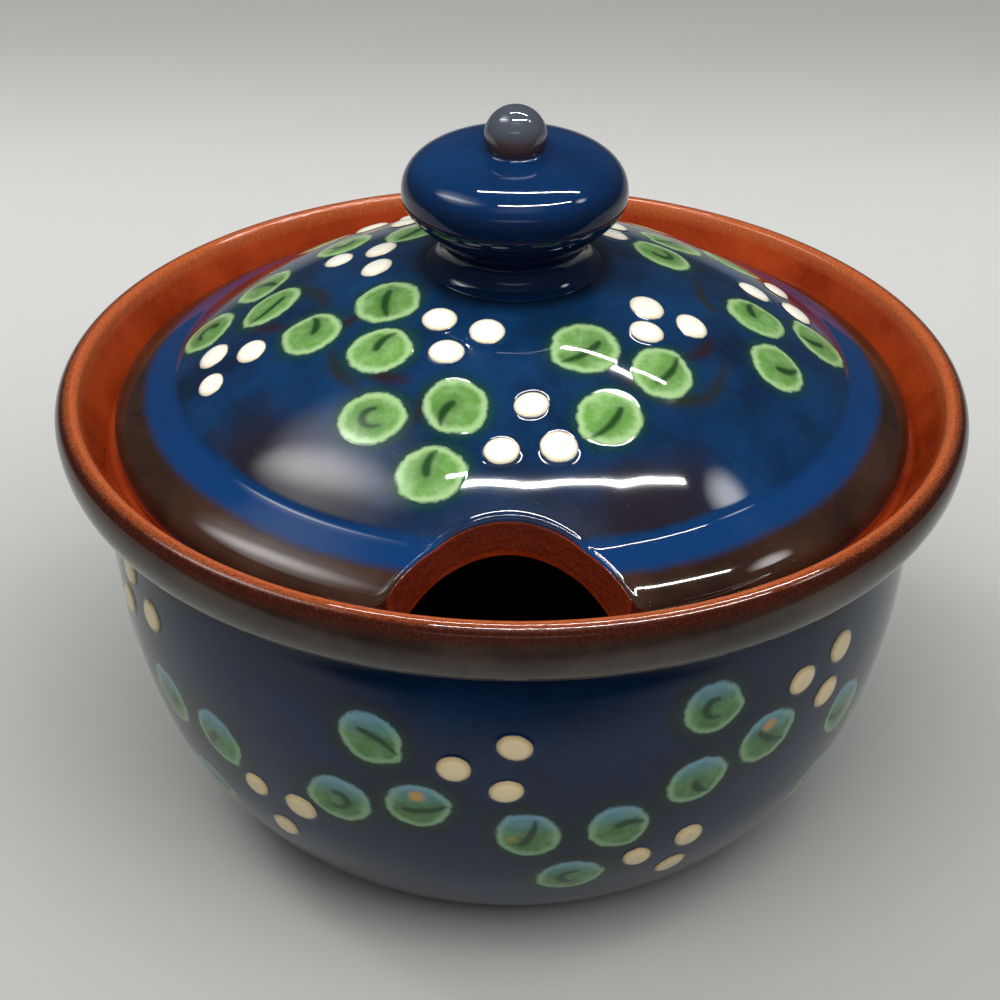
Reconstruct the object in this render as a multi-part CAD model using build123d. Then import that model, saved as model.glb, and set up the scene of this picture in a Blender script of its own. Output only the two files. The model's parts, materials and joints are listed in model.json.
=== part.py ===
from build123d import *
import math
import os

# Slip-decorated earthenware jam pot with a drop-in lid that has a spoon notch.
# Millimetres. The origin is the middle of the foot, +Z is up, and the notch faces -Y.

# Lid
lid_radius = 56.7
brim_edge_height = 3.5
brim_crown_height = 6.2
brim_slope_width = 4.3
brim_band_width = 3.4
dome_foot_height = 7.0
dome_step = 0.7
dome_rise = 18.0
dome_bulge = 2.3
lid_wall = 3.8
brim_round = 1.0
notch_depth = 12.0
notch_radius = 18.3
notch_taper = 6.0

# Knob and its tip
knob_foot_radius = 11.4
neck_radius = 9.7
neck_flare_height = 1.9
neck_height = 3.4
knob_radius = 15.7
knob_equator_height = 10.7
knob_height = 16.8
belly_fall = 1.7
belly_flare = 5.0
crown_flatness = 0.65
crown_fullness = 0.72
tip_radius = 4.35
tip_seat_radius = 4.0
tip_height = 6.4

# Pot, from the lid outwards and from the table upwards
pot_height = 69.2
gallery_depth = 7.2
gallery_width = 5.2
lid_clearance = 0.9
rim_flare = 3.8
lip_width = 3.6
band_height = 9.2
band_draw = 2.6
band_undercut = 1.4
shoulder_drop = 17.2
bowl_wall = 5.6
bowl_floor = 6.0
belly_height = 24.5
belly_draw = 4.6
foot_radius = 33.5
foot_ring_width = 7.5
foot_recess = 1.5
floor_draw = 2.5
edge_round = 0.6

# Raised slip
berry_radius = 2.3
berry_relief = 0.8
leaf_length = 9.4
leaf_width = 8.2
leaf_relief = 0.6
leaf_edge = 0.25

# Each spray is three leaves, then its three berries. A place is the azimuth in degrees and the
# share of the way across the wall: from the knob to the dome's foot, or from the foot to the shoulder.
lid_sprays = [
    ([(-105, 0.76), (-122, 0.62), (-104, 0.51)], [(-92, 0.66), (-80, 0.65), (-85, 0.49)]),
    ([(-67, 0.57), (-64, 0.28), (-46, 0.47)], [(-26, 0.24), (-38, 0.31), (-22, 0.40)]),
    ([(0, 0.61), (-16, 0.71), (4, 0.86)], [(15, 0.65), (24, 0.82), (14, 0.82)]),
    ([(24, 0.31), (34, 0.73), (39, 0.48)], [(42, 0.20), (58, 0.17), (53, 0.32)]),
    ([(58, 0.70), (74, 0.58), (72, 0.86)], [(86, 0.64), (96, 0.72), (85, 0.80)]),
    ([(88, 0.36), (104, 0.52), (113, 0.29)], [(127, 0.40), (118, 0.53), (130, 0.57)]),
    ([(137, 0.22), (146, 0.49), (136, 0.75)], [(161, 0.40), (158, 0.24), (176, 0.21)]),
    ([(178, 0.61), (163, 0.70), (175, 0.86)], [(-164, 0.85), (-173, 0.82), (-166, 0.69)]),
    ([(-134, 0.38), (-159, 0.49), (-153, 0.21)], [(-124, 0.17), (-101, 0.18), (-113, 0.30)]),
]
pot_sprays = [
    ([(-170, 0.90), (-180, 0.72), (-166, 0.68)], [(-157, 0.87), (-155, 0.99), (-148, 0.92)]),
    ([(-135, 0.65), (-147, 0.67), (-143, 0.39)], [(-129, 0.54), (-121, 0.53), (-126, 0.40)]),
    ([(-108, 0.87), (-114, 0.62), (-102, 0.66)], [(-89, 0.89), (-90, 0.74), (-97, 0.81)]),
    ([(-87, 0.57), (-74, 0.57), (-80, 0.37)], [(-62, 0.46), (-70, 0.42), (-63, 0.33)]),
    ([(-62, 0.93), (-52, 0.76), (-63, 0.69)], [(-39, 0.93), (-47, 0.90), (-41, 0.80)]),
    ([(-34, 0.67), (-23, 0.55), (-33, 0.39)], [(-12, 0.44), (-18, 0.35), (-10, 0.33)]),
]
pot_repeats = 2

# Places worked out from the sizes above
gallery_radius = lid_radius + lid_clearance
gallery_inner = gallery_radius - gallery_width
rim_inner = gallery_radius + rim_flare
rim_radius = rim_inner + lip_width
lip_round = lip_width / 2
bowl_radius = gallery_inner + bowl_wall
seat_z = pot_height - gallery_depth
lip_z = pot_height - lip_round
band_z = pot_height - band_height
shoulder_z = pot_height - shoulder_drop
dome_radius = lid_radius - brim_slope_width - brim_band_width
dome_z = seat_z + dome_foot_height + dome_step
knob_z = dome_z + dome_rise
tip_z = knob_z + knob_height


def turned(outline):
    return revolve(Plane.XZ * make_face(outline), Axis.Z)


def rounded(face, point, radius):
    corner = face.vertices().sort_by_distance(point)[0]
    return fillet(corner, radius)


# Outer lines of the two surfaces that carry the slip
shoulder = Vector(bowl_radius, shoulder_z)
belly = Vector(bowl_radius - belly_draw, belly_height)
foot_edge = Vector(foot_radius, edge_round)
band_root = Vector(bowl_radius, band_z - band_undercut)
neck_line = Line(band_root, shoulder)
upper_wall = TangentArc(shoulder, belly, tangent=(0, -1))
lower_wall = TangentArc(belly, foot_edge, tangent=upper_wall % 1)
dome_top = Vector(knob_foot_radius, knob_z)
dome_foot = Vector(dome_radius, dome_z)
dome_line = SagittaArc(dome_top, dome_foot, dome_bulge)


def make_pot():
    # The wall inside follows the outside at the wall's thickness
    inward = (upper_wall % 1).rotate(Axis.Z, -90)
    shoulder_in = Vector(bowl_radius - bowl_wall, shoulder_z)
    belly_in = belly + inward * bowl_wall
    floor_edge = Vector(foot_radius - floor_draw, bowl_floor)
    upper_in = TangentArc(shoulder_in, belly_in, tangent=(0, -1))
    lower_in = TangentArc(belly_in, floor_edge, tangent=upper_in % 1)
    ring_inner = foot_radius - foot_ring_width

    ledge_edge = (gallery_inner, seat_z)
    ledge_corner = (gallery_radius, seat_z)
    band_edge = (rim_radius - band_draw, band_z)
    outline = Polyline((0, bowl_floor), (0, foot_recess), (ring_inner, foot_recess), (ring_inner, 0))
    outline += Polyline((ring_inner, 0), (foot_radius - edge_round, 0), foot_edge)
    outline += lower_wall + upper_wall + neck_line
    outline += Line(band_root, band_edge)
    outline += TangentArc((rim_radius, lip_z), band_edge, tangent=(0, -1))
    outline += ThreePointArc((rim_radius, lip_z), (rim_radius - lip_round, pot_height), (rim_inner, lip_z))
    outline += Polyline((rim_inner, lip_z), ledge_corner, ledge_edge, shoulder_in)
    outline += upper_in
    outline += lower_in
    outline += Line(floor_edge, (0, bowl_floor))
    profile = make_face(outline)
    for point, radius in [(ledge_edge, edge_round), (ledge_corner, 2 * edge_round),
                          (band_edge, edge_round), (band_root, 2 * edge_round)]:
        profile = rounded(profile, point, radius)
    return revolve(Plane.XZ * profile, Axis.Z)


def make_lid():
    # The hollow under the dome lies one wall's thickness inside it
    def inside(share):
        tangent = dome_line % share
        return dome_line @ share + tangent.rotate(Axis.Z, -90) * lid_wall

    hollow_top = inside(0)
    hollow_foot = inside(0.9)
    seat_inner = (gallery_inner + edge_round, seat_z)
    seat_outer = (lid_radius, seat_z)
    edge_top = (lid_radius, seat_z + brim_edge_height)
    crown = (lid_radius - brim_slope_width, seat_z + brim_crown_height)
    step_foot = (dome_radius + dome_step, seat_z + dome_foot_height)
    outline = Polyline((0, hollow_top.Y), (0, knob_z), dome_top)
    outline += dome_line
    outline += Polyline(dome_foot, step_foot, crown, edge_top, seat_outer, seat_inner, hollow_foot)
    outline += ThreePointArc(hollow_foot, inside(0.45), hollow_top)
    outline += Line(hollow_top, (0, hollow_top.Y))
    profile = make_face(outline)
    for point, radius in [(crown, 2 * brim_round), (edge_top, brim_round), (seat_outer, brim_round)]:
        profile = rounded(profile, point, radius)
    lid = revolve(Plane.XZ * profile, Axis.Z)

    # The spoon notch is a round bite that narrows downwards
    notch_middle = lid_radius - notch_depth + notch_radius
    slope = math.tan(math.radians(notch_taper))
    below = dome_foot_height + dome_step + brim_round
    above = dome_rise
    cutter = Cone(notch_radius - below * slope, notch_radius + above * slope, below + above)
    return lid - Pos(0, -notch_middle, dome_z + (above - below) / 2) * cutter


def make_knob():
    neck_top = (neck_radius, knob_z + neck_height)
    neck_foot = (neck_radius, knob_z + neck_flare_height)
    equator = (knob_radius, knob_z + knob_equator_height)
    crown_rise = (knob_height - knob_equator_height) * crown_fullness
    crown_reach = (knob_radius - tip_seat_radius) * crown_flatness
    outline = Polyline((0, tip_z), (0, knob_z), dome_top)
    outline += TangentArc(neck_foot, dome_top, tangent=(0, -1))
    outline += Line(neck_foot, neck_top)
    outline += Bezier(equator, (knob_radius, equator[1] - belly_fall),
                      (neck_radius + belly_flare, neck_top[1] + belly_flare), neck_top)
    outline += Bezier(equator, (knob_radius, equator[1] + crown_rise),
                      (tip_seat_radius + crown_reach, tip_z), (tip_seat_radius, tip_z))
    outline += Line((tip_seat_radius, tip_z), (0, tip_z))
    return turned(outline)


def make_tip():
    top = tip_z + tip_height
    side = (tip_radius, top - tip_radius)
    outline = Polyline((0, top), (0, tip_z), (tip_seat_radius, tip_z))
    outline += Line((tip_seat_radius, tip_z), side)
    outline += TangentArc(side, (0, top), tangent=(0, 1))
    return turned(outline)


def on_dome(place):
    azimuth, share = place
    radius = knob_foot_radius + share * (dome_radius - knob_foot_radius)
    middle = dome_line.arc_center
    height = middle.Y + math.sqrt(dome_line.radius ** 2 - (radius - middle.X) ** 2)
    return on_arc(azimuth, Vector(radius, height), middle)


def on_bowl(place):
    azimuth, share = place
    height = share * shoulder_z
    wall = upper_wall if height > belly_height else lower_wall
    middle = wall.arc_center
    radius = middle.X + math.sqrt(wall.radius ** 2 - (height - middle.Y) ** 2)
    return on_arc(azimuth, Vector(radius, height), middle)


def on_arc(azimuth, point, middle):
    # A plane that lies on the surface, with its z axis along the outward normal
    out = (point - middle).normalized()
    turn = math.radians(azimuth)
    spin = Vector(math.cos(turn), math.sin(turn), 0)
    around = Vector(-math.sin(turn), math.cos(turn), 0)
    place = spin * point.X + Vector(0, 0, point.Y)
    return Plane(place, x_dir=around, z_dir=spin * out.X + Vector(0, 0, out.Y))


def ball_over(reach, rise):
    # The radius of a ball that rises this much over a circle of the given reach
    return (reach ** 2 + rise ** 2) / (2 * rise)


def berry_drop(root):
    ball = ball_over(berry_radius, berry_relief)
    return split(Pos(0, 0, berry_relief - ball) * Sphere(ball), Plane.XY.offset(-root), Keep.TOP)


def leaf_drop(root):
    # Two discs that overlap sideways leave a leaf's oval with its two pointed ends
    lean = (leaf_length ** 2 - leaf_width ** 2) / (4 * leaf_width)
    disc = Cylinder(leaf_width / 2 + lean, 2 * root)
    oval = (Pos(0, lean, 0) * disc) & (Pos(0, -lean, 0) * disc)
    ball = ball_over(leaf_length / 2, leaf_relief - leaf_edge)
    return oval & Pos(0, 0, leaf_relief - ball) * Sphere(ball)


def make_slip(sprays, on_wall, wall_line, wall):
    # The solid under the wall's outer line trims the drops' roots, so the drops lie on the wall
    top = wall_line @ 0
    bottom = wall_line @ 1
    under = bottom - Vector(0, wall)
    backing = turned(wall_line + Polyline(bottom, under, (0, under.Y), (0, top.Y), top))
    berry = berry_drop(wall / 2)
    leaf = leaf_drop(wall / 2)
    berries = []
    leaves = []
    for leaf_places, berry_places in sprays:
        planes = [on_wall(place) for place in berry_places]
        heart = sum((plane.origin for plane in planes), Vector()) / len(planes)
        berries += [plane * berry for plane in planes]
        for place in leaf_places:
            plane = on_wall(place)
            # A leaf points along the wall to the berries of its spray
            aim = plane.to_local_coords(heart)
            turn = math.degrees(math.atan2(aim.Y, aim.X))
            leaves.append(plane * Rot(0, 0, turn) * leaf)
    return [Compound([(drop.solid() - backing).solid() for drop in drops]) for drops in (berries, leaves)]


def repeated(sprays, times):
    step = 360 / times
    return [[[(azimuth + turn * step, share) for azimuth, share in places] for places in spray]
            for turn in range(times) for spray in sprays]


def save(shape, name):
    export_step(shape, f"parts/{name}.step")


os.makedirs("parts", exist_ok=True)
save(make_pot(), "pot")
save(make_lid(), "lid")
save(make_knob(), "lid_knob")
save(make_tip(), "knob_tip")
for name, sprays, on_wall, wall_line, wall in [
    ("lid", lid_sprays, on_dome, dome_line, lid_wall),
    ("pot", repeated(pot_sprays, pot_repeats), on_bowl, neck_line + upper_wall + lower_wall, bowl_wall),
]:
    berries, leaves = make_slip(sprays, on_wall, wall_line, wall)
    save(berries, f"{name}_berries")
    save(leaves, f"{name}_leaves")
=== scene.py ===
import json
import math
import bpy
import numpy as np
from mathutils import Matrix, Vector

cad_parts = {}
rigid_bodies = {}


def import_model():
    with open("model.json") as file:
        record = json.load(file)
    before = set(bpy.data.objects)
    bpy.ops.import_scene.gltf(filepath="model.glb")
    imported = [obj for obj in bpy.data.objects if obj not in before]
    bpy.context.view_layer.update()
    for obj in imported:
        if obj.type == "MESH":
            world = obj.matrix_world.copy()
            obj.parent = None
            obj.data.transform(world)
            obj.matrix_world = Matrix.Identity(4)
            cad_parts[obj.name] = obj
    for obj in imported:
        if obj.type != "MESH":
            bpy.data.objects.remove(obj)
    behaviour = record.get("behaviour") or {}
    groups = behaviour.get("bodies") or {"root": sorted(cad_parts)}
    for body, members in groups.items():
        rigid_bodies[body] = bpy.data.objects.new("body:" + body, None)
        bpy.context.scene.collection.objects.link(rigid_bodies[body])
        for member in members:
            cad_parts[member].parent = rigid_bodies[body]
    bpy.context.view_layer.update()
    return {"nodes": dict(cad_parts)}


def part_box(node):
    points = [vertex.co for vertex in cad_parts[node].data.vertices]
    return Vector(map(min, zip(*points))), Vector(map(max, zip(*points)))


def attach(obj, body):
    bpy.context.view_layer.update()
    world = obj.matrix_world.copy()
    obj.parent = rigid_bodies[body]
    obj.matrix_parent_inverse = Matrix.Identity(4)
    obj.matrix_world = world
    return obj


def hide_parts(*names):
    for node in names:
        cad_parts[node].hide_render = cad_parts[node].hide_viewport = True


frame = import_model()
mm = 0.001
farAway = 99.0  # where a search for the nearest starts
print("frame loaded")


def linear(code):
    # sRGB hex to a linear colour
    parts = [int(code[i:i + 2], 16) / 255 for i in (1, 3, 5)]
    return [p / 12.92 if p <= 0.04045 else ((p + 0.055) / 1.055) ** 2.4 for p in parts] + [1]


def add(tree, kind, inputs=None, **settings):
    # one node with its settings, and its inputs linked or set
    made = tree.nodes.new(kind)
    for name, value in settings.items():
        setattr(made, name, value)
    for key, value in (inputs or {}).items():
        if isinstance(value, bpy.types.Node):
            value = value.outputs[0]
        if isinstance(value, bpy.types.NodeSocket):
            tree.links.new(value, made.inputs[key])
        else:
            made.inputs[key].default_value = value
    return made


# Outlines are rows of (radius, height) in mm

def arc(start, end, heading, count=40):
    # the circle that leaves start along heading and reaches end, and the heading there
    start, end, heading = (np.array(given, float) for given in (start, end, heading))
    heading /= np.hypot(*heading)
    chord = end - start
    sweep = 2 * math.atan2(heading[0] * chord[1] - heading[1] * chord[0], heading @ chord)
    side = np.array([-heading[1], heading[0]])
    centre = start + side * (chord @ chord) / (2 * (chord @ side))
    turn = np.linspace(0, sweep, count)
    x, z = start - centre
    spun = [x * np.cos(turn) - z * np.sin(turn), x * np.sin(turn) + z * np.cos(turn)]
    leaving = [heading[0] * math.cos(sweep) - heading[1] * math.sin(sweep),
               heading[0] * math.sin(sweep) + heading[1] * math.cos(sweep)]
    return centre + np.stack(spun, 1), leaving


def curve(start, leave, arrive, end, count=60):
    # a cubic Bezier curve
    t = np.linspace(0, 1, count)[:, None]
    start, leave, arrive, end = (np.array(p, float) for p in (start, leave, arrive, end))
    return (1 - t) ** 3 * start + 3 * t * (1 - t) ** 2 * leave + 3 * t ** 2 * (1 - t) * arrive + t ** 3 * end


def softened(pieces, blur, fine, coarse):
    # rounds an outline's corners as melted glaze does, then spaces its points by how much it bends
    gap = 0.04  # mm between the points that are blurred
    window = 25  # points over which the bend is averaged
    bend = 0.09  # radians from one kept point to the next
    points = np.vstack([np.atleast_2d(p) for p in pieces])
    far = np.r_[0, np.cumsum(np.hypot(*np.diff(points, axis=0).T))]
    even = np.arange(0, far[-1], gap)
    line = np.stack([np.interp(even, far, points[:, i]) for i in (0, 1)], 1)
    line = np.vstack([line, points[-1]])
    reach = int(4 * blur / gap)
    weight = np.exp(-0.5 * (np.arange(-reach, reach + 1) * gap / blur) ** 2)
    weight /= weight.sum()
    padded = np.vstack([2 * line[0] - line[reach:0:-1], line, 2 * line[-1] - line[-2:-reach - 2:-1]])
    line = np.stack([np.convolve(padded[:, i], weight, "valid") for i in (0, 1)], 1)
    line[0], line[-1] = points[0], points[-1]
    run = np.diff(line, axis=0)
    length = np.hypot(*run.T)
    angle = np.unwrap(np.arctan2(run[:, 1], run[:, 0]))
    turning = np.abs(np.gradient(angle)) / gap
    turning = np.convolve(np.pad(turning, window // 2, "edge"), np.ones(window) / window, "valid")
    step = np.clip(bend / np.maximum(turning, 1e-6), fine, coarse)
    spread = np.r_[0, np.cumsum(length / step)]
    picks = np.linspace(0, spread[-1], int(spread[-1]) + 2)
    return np.stack([np.interp(picks, spread, line[:, i]) for i in (0, 1)], 1)


def turned(outline, columns):
    # rings of points from an outline spun about Z, the first column at the front
    turn = np.arange(columns) / columns * 2 * math.pi
    radius, height = outline[:, 0][:, None], outline[:, 1][:, None]
    return np.stack([radius * np.sin(turn), -radius * np.cos(turn), height + 0 * turn], 2)


def ringMesh(name, rings, marks):
    # a closed skin over rings of points, each end ring closed on a pole, with its marks as attributes
    count, columns = rings.shape[:2]
    poles = np.stack([rings[0].mean(0), rings[-1].mean(0)])
    points = np.vstack([rings.reshape(-1, 3), poles])
    here = np.arange(count * columns).reshape(count, columns)
    after = np.roll(here, -1, 1)
    quads = np.stack([here[:-1], here[1:], after[1:], after[:-1]], 2).reshape(-1, 4).tolist()
    top, bottom = count * columns, count * columns + 1
    quads += [(top, a, b) for a, b in zip(here[0].tolist(), after[0].tolist())]
    quads += [(bottom, b, a) for a, b in zip(here[-1].tolist(), after[-1].tolist())]
    mesh = bpy.data.meshes.new(name)
    mesh.from_pydata((points * mm).tolist(), [], quads)
    for key, values in marks.items():
        values = np.broadcast_to(values, (count, columns))
        values = np.r_[values.ravel(), values[0].mean(), values[-1].mean()]
        mesh.attributes.new(key, "FLOAT", "POINT").data.foreach_set("value", values.astype(np.float32))
    mesh.shade_smooth()
    return mesh


def newPiece(name, mesh):
    piece = bpy.data.objects.new(name, mesh)
    bpy.context.scene.collection.objects.link(piece)
    return piece


def fade(values, low, high, base=0):
    # 0 at low, 1 at high, smooth between, both counted from base
    low, high = base + low, base + high
    share = np.clip((values - low) / (high - low), 0, 1)
    return share * share * (3 - 2 * share)


# Where the CAD has its raised drops of slip

def dropPlaces(node):
    # middle and long direction of each separate drop of a node, in mm
    mesh = frame["nodes"][node].data
    points = np.array([v.co for v in mesh.vertices]) / mm
    welded, index = np.unique(np.round(points, 3), axis=0, return_inverse=True)
    corners = np.zeros(len(mesh.loops), int)
    mesh.loops.foreach_get("vertex_index", corners)
    faces = index.ravel()[corners].reshape(-1, 3)
    label = np.arange(len(welded))
    while True:  # neighbours take the lowest label until nothing changes
        least = label[faces].min(1)
        new = label.copy()
        for side in faces.T:
            np.minimum.at(new, side, least)
        new = new[new]
        if (new == label).all():
            break
        label = new
    middles, axes = [], []
    for mark in np.unique(label):
        drop = welded[label == mark]
        middle = (drop.max(0) + drop.min(0)) / 2
        spread = drop - middle
        across = np.linalg.eigh(spread.T @ spread)[1][:, 1:]
        reach = np.ptp(spread @ across, axis=0)
        middles.append(middle)
        axes.append(across[:, int(np.argmax(reach))])
    return np.array(middles), np.array(axes)


dropNodes = ["lid_berries", "lid_leaves", "pot_berries", "pot_leaves"]
drops = {node: dropPlaces(node) for node in dropNodes}
print("drops found:", {node: len(places[0]) for node, places in drops.items()})


# Berries and leaves: the drops of slip

berryForm = {
    "length": 4.876, "width": 4.6, "squeeze": {"berryRound": 1.0, "berryOval": 0.9}, "point": 0.0,
    "relief": 0.5, "dome": 3.0, "shoulder": 0.6, "rings": 10, "sides": 32, "heart": 0.02, "root": 0.35,
    "rootShare": 0.6, "skirt": 0.34, "skirtRise": 0.10, "skirtRings": 8, "sink": 0.003,
    "turnSpread": 40, "sizeSpread": 0.06,
}
leafForm = {
    "length": 9.4, "width": 8.2, "point": 0.36,
    "relief": 0.16, "dome": 2.0, "shoulder": 1.0, "rings": 22, "sides": 56, "heart": 0.02, "root": 0.35,
    "rootShare": 0.6, "skirt": 0.13, "skirtRise": 0.03, "skirtRings": 5, "sink": 0.003,
    "turnSpread": 8, "sizeSpread": 0.04,
}
strokeForm = {"edge": 0.07, "shade": 0.45}  # how softly a leaf's stroke ends, and how far its shade reaches
berriesInSpray = 3

# A leaf's mark is a brush stroke: middle, radius and the two angles of its arc, then its two widths
leafMarks = {
    "leafComma": ((0.76, 0.05), 0.885, (124, 182), (0.09, 0.18)),
    "leafSlit": ((1.69, -0.92), 2.0, (130, 166), (0.10, 0.16)),
    "leafBean": ((0.33, -1.36), 1.6, (72, 120), (0.09, 0.15)),
    "leafCurl": ((0.05, 0.0), 0.36, (60, 262), (0.09, 0.16)),
}


def pastLeaf(points, node):
    # how far a point lies outside the nearest leaf, in mm
    near = np.full(points.shape[:-1], farAway)
    long, wide = leafForm["length"] / 2, leafForm["width"] / 2
    for middle, axis in zip(*drops[node]):
        offset = points - middle
        along = offset @ axis
        across = np.linalg.norm(offset - along[..., None] * axis, axis=-1)
        near = np.minimum(near, (np.hypot(along / long, across / wide) - 1) * wide)
    return np.maximum(near, 0)


def pastStroke(u, v, stroke):
    # how far a point lies outside a brush stroke along an arc, which is thinner at its ends
    (x, y), radius, (first, last), (wide, narrow) = stroke
    nearest = np.full(u.shape, farAway)
    for share in np.linspace(0, 1, 40):
        turn = math.radians(first + share * (last - first))
        taper = math.sin(math.pi * (0.12 + 0.76 * share)) ** 0.5
        width = (wide + share * (narrow - wide)) * taper
        away = np.hypot(u - x - radius * math.cos(turn), v - y - radius * math.sin(turn))
        nearest = np.minimum(nearest, away - width)
    return nearest


def flatDrop(name, form, squeeze=1.0, mark=None, side=1):
    # a drop lies flat here, and keeps its height over the wall in the attribute rise
    body = np.sin(np.linspace(form["heart"], 1, form["rings"]) * math.pi / 2)
    skirt = 1 + form["skirt"] * np.linspace(0, 1, form["skirtRings"] + 1)[1:]
    share = np.r_[body, skirt, skirt[-1], form["rootShare"]]
    turn = np.arange(form["sides"]) / form["sides"] * 2 * math.pi
    u = share[:, None] * np.cos(turn)
    v = share[:, None] * np.sin(turn) * (1 - form["point"] * np.maximum(np.cos(turn), 0) ** 3)
    climb = 1 - np.clip((share - 1) / form["skirt"], 0, 1)
    dome = (1 - np.minimum(share, 1) ** form["dome"]) ** form["shoulder"]
    top = (form["relief"] - form["skirtRise"]) * dome
    rise = top + form["skirtRise"] * climb ** 2 - form["sink"] * (1 - climb)
    rise[-2:] = -form["root"]
    past = pastStroke(u, v * side, mark) if mark else np.full(u.shape, farAway)
    past[-2:] = farAway
    marks = {
        "rise": rise[:, None], "rim": share[:, None], "along": u, "across": v,
        "stroke": 1 - fade(past, -strokeForm["edge"], strokeForm["edge"]),
        "shade": 1 - fade(past, 0, strokeForm["shade"]),
    }
    rings = np.stack([u * form["length"] / 2, v * (form["width"] * squeeze) / 2, 0 * u], 2)
    return bpy.data.objects.new(name, ringMesh(name, rings, marks))


berryShapes = bpy.data.collections.new("berryShapes")
leafShapes = bpy.data.collections.new("leafShapes")
for name, squeeze in berryForm["squeeze"].items():
    berryShapes.objects.link(flatDrop(name, berryForm, squeeze))
for name, stroke in leafMarks.items():
    for hand, side in [("Left", 1), ("Right", -1)]:
        leafShapes.objects.link(flatDrop(name + hand, leafForm, mark=stroke, side=side))


def buildSlipTree():
    # sets flat drops on points, then presses them onto the wall and lifts them by their rise
    tree = bpy.data.node_groups.new("raisedSlip", "GeometryNodeTree")
    tree.is_modifier = True
    tree.interface.new_socket("Geometry", in_out="OUTPUT", socket_type="NodeSocketGeometry")
    for name, kind in [("Geometry", "Geometry"), ("Wall", "Object"), ("Shapes", "Collection"),
                       ("Slip", "Material"), ("Turn spread", "Float"), ("Size spread", "Float"),
                       ("Seed", "Int")]:
        tree.interface.new_socket(name, in_out="INPUT", socket_type="NodeSocket" + kind)
    given = add(tree, "NodeGroupInput").outputs
    wall = add(tree, "GeometryNodeObjectInfo", {"Object": given["Wall"]}).outputs["Geometry"]
    wall = add(tree, "GeometryNodeStoreNamedAttribute",
               {"Geometry": wall, "Name": "outward", "Value": add(tree, "GeometryNodeInputNormal")},
               data_type="FLOAT_VECTOR", domain="POINT")
    outward, aim, pick, rise = (
        add(tree, "GeometryNodeInputNamedAttribute", {"Name": name}, data_type=kind)
        for name, kind in [("outward", "FLOAT_VECTOR"), ("aim", "FLOAT_VECTOR"),
                           ("shape", "INT"), ("rise", "FLOAT")])
    place = add(tree, "GeometryNodeInputPosition")
    normal, ground = (add(tree, "GeometryNodeSampleNearestSurface",
                          {"Mesh": wall, "Value": value, "Sample Position": place},
                          data_type="FLOAT_VECTOR") for value in (outward, place))
    upright = add(tree, "FunctionNodeAlignRotationToVector", {"Vector": normal}, axis="Z")
    aimed = add(tree, "FunctionNodeAlignRotationToVector", {"Rotation": upright, "Vector": aim},
                axis="X", pivot_axis="Z")
    least = add(tree, "ShaderNodeMath", {0: given["Turn spread"], 1: -1.0}, operation="MULTIPLY")
    swing = add(tree, "FunctionNodeRandomValue", {2: least, 3: given["Turn spread"], "Seed": given["Seed"]})
    swing = add(tree, "ShaderNodeCombineXYZ", {"Z": swing.outputs[1]})
    turn = add(tree, "FunctionNodeEulerToRotation", {0: swing})
    aimed = add(tree, "FunctionNodeRotateRotation", {0: aimed, 1: turn}, rotation_space="LOCAL")
    small, large = (add(tree, "ShaderNodeMath", {0: 1.0, 1: given["Size spread"]}, operation=sign)
                    for sign in ("SUBTRACT", "ADD"))
    nextSeed = add(tree, "ShaderNodeMath", {0: given["Seed"], 1: 1.0}, operation="ADD")
    size = add(tree, "FunctionNodeRandomValue", {2: small, 3: large, "Seed": nextSeed})
    shapes = add(tree, "GeometryNodeCollectionInfo",
                 {"Collection": given["Shapes"], "Separate Children": True, "Reset Children": True})
    placed = add(tree, "GeometryNodeInstanceOnPoints",
                 {"Points": given["Geometry"], "Instance": shapes, "Pick Instance": True,
                  "Instance Index": pick, "Rotation": aimed, "Scale": size.outputs[1]})
    real = add(tree, "GeometryNodeRealizeInstances", {0: placed})
    lift = normal
    for scale in (rise, mm):
        lift = add(tree, "ShaderNodeVectorMath", {0: lift, "Scale": scale}, operation="SCALE")
    seat = add(tree, "ShaderNodeVectorMath", {0: ground, 1: lift}, operation="ADD")
    pressed = add(tree, "GeometryNodeSetPosition", {"Geometry": real, "Position": seat})
    smooth = add(tree, "GeometryNodeSetShadeSmooth", {"Geometry": pressed})
    finished = add(tree, "GeometryNodeSetMaterial", {"Geometry": smooth, "Material": given["Slip"]})
    add(tree, "NodeGroupOutput", {"Geometry": finished})
    return tree


slipTree = buildSlipTree()


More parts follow.
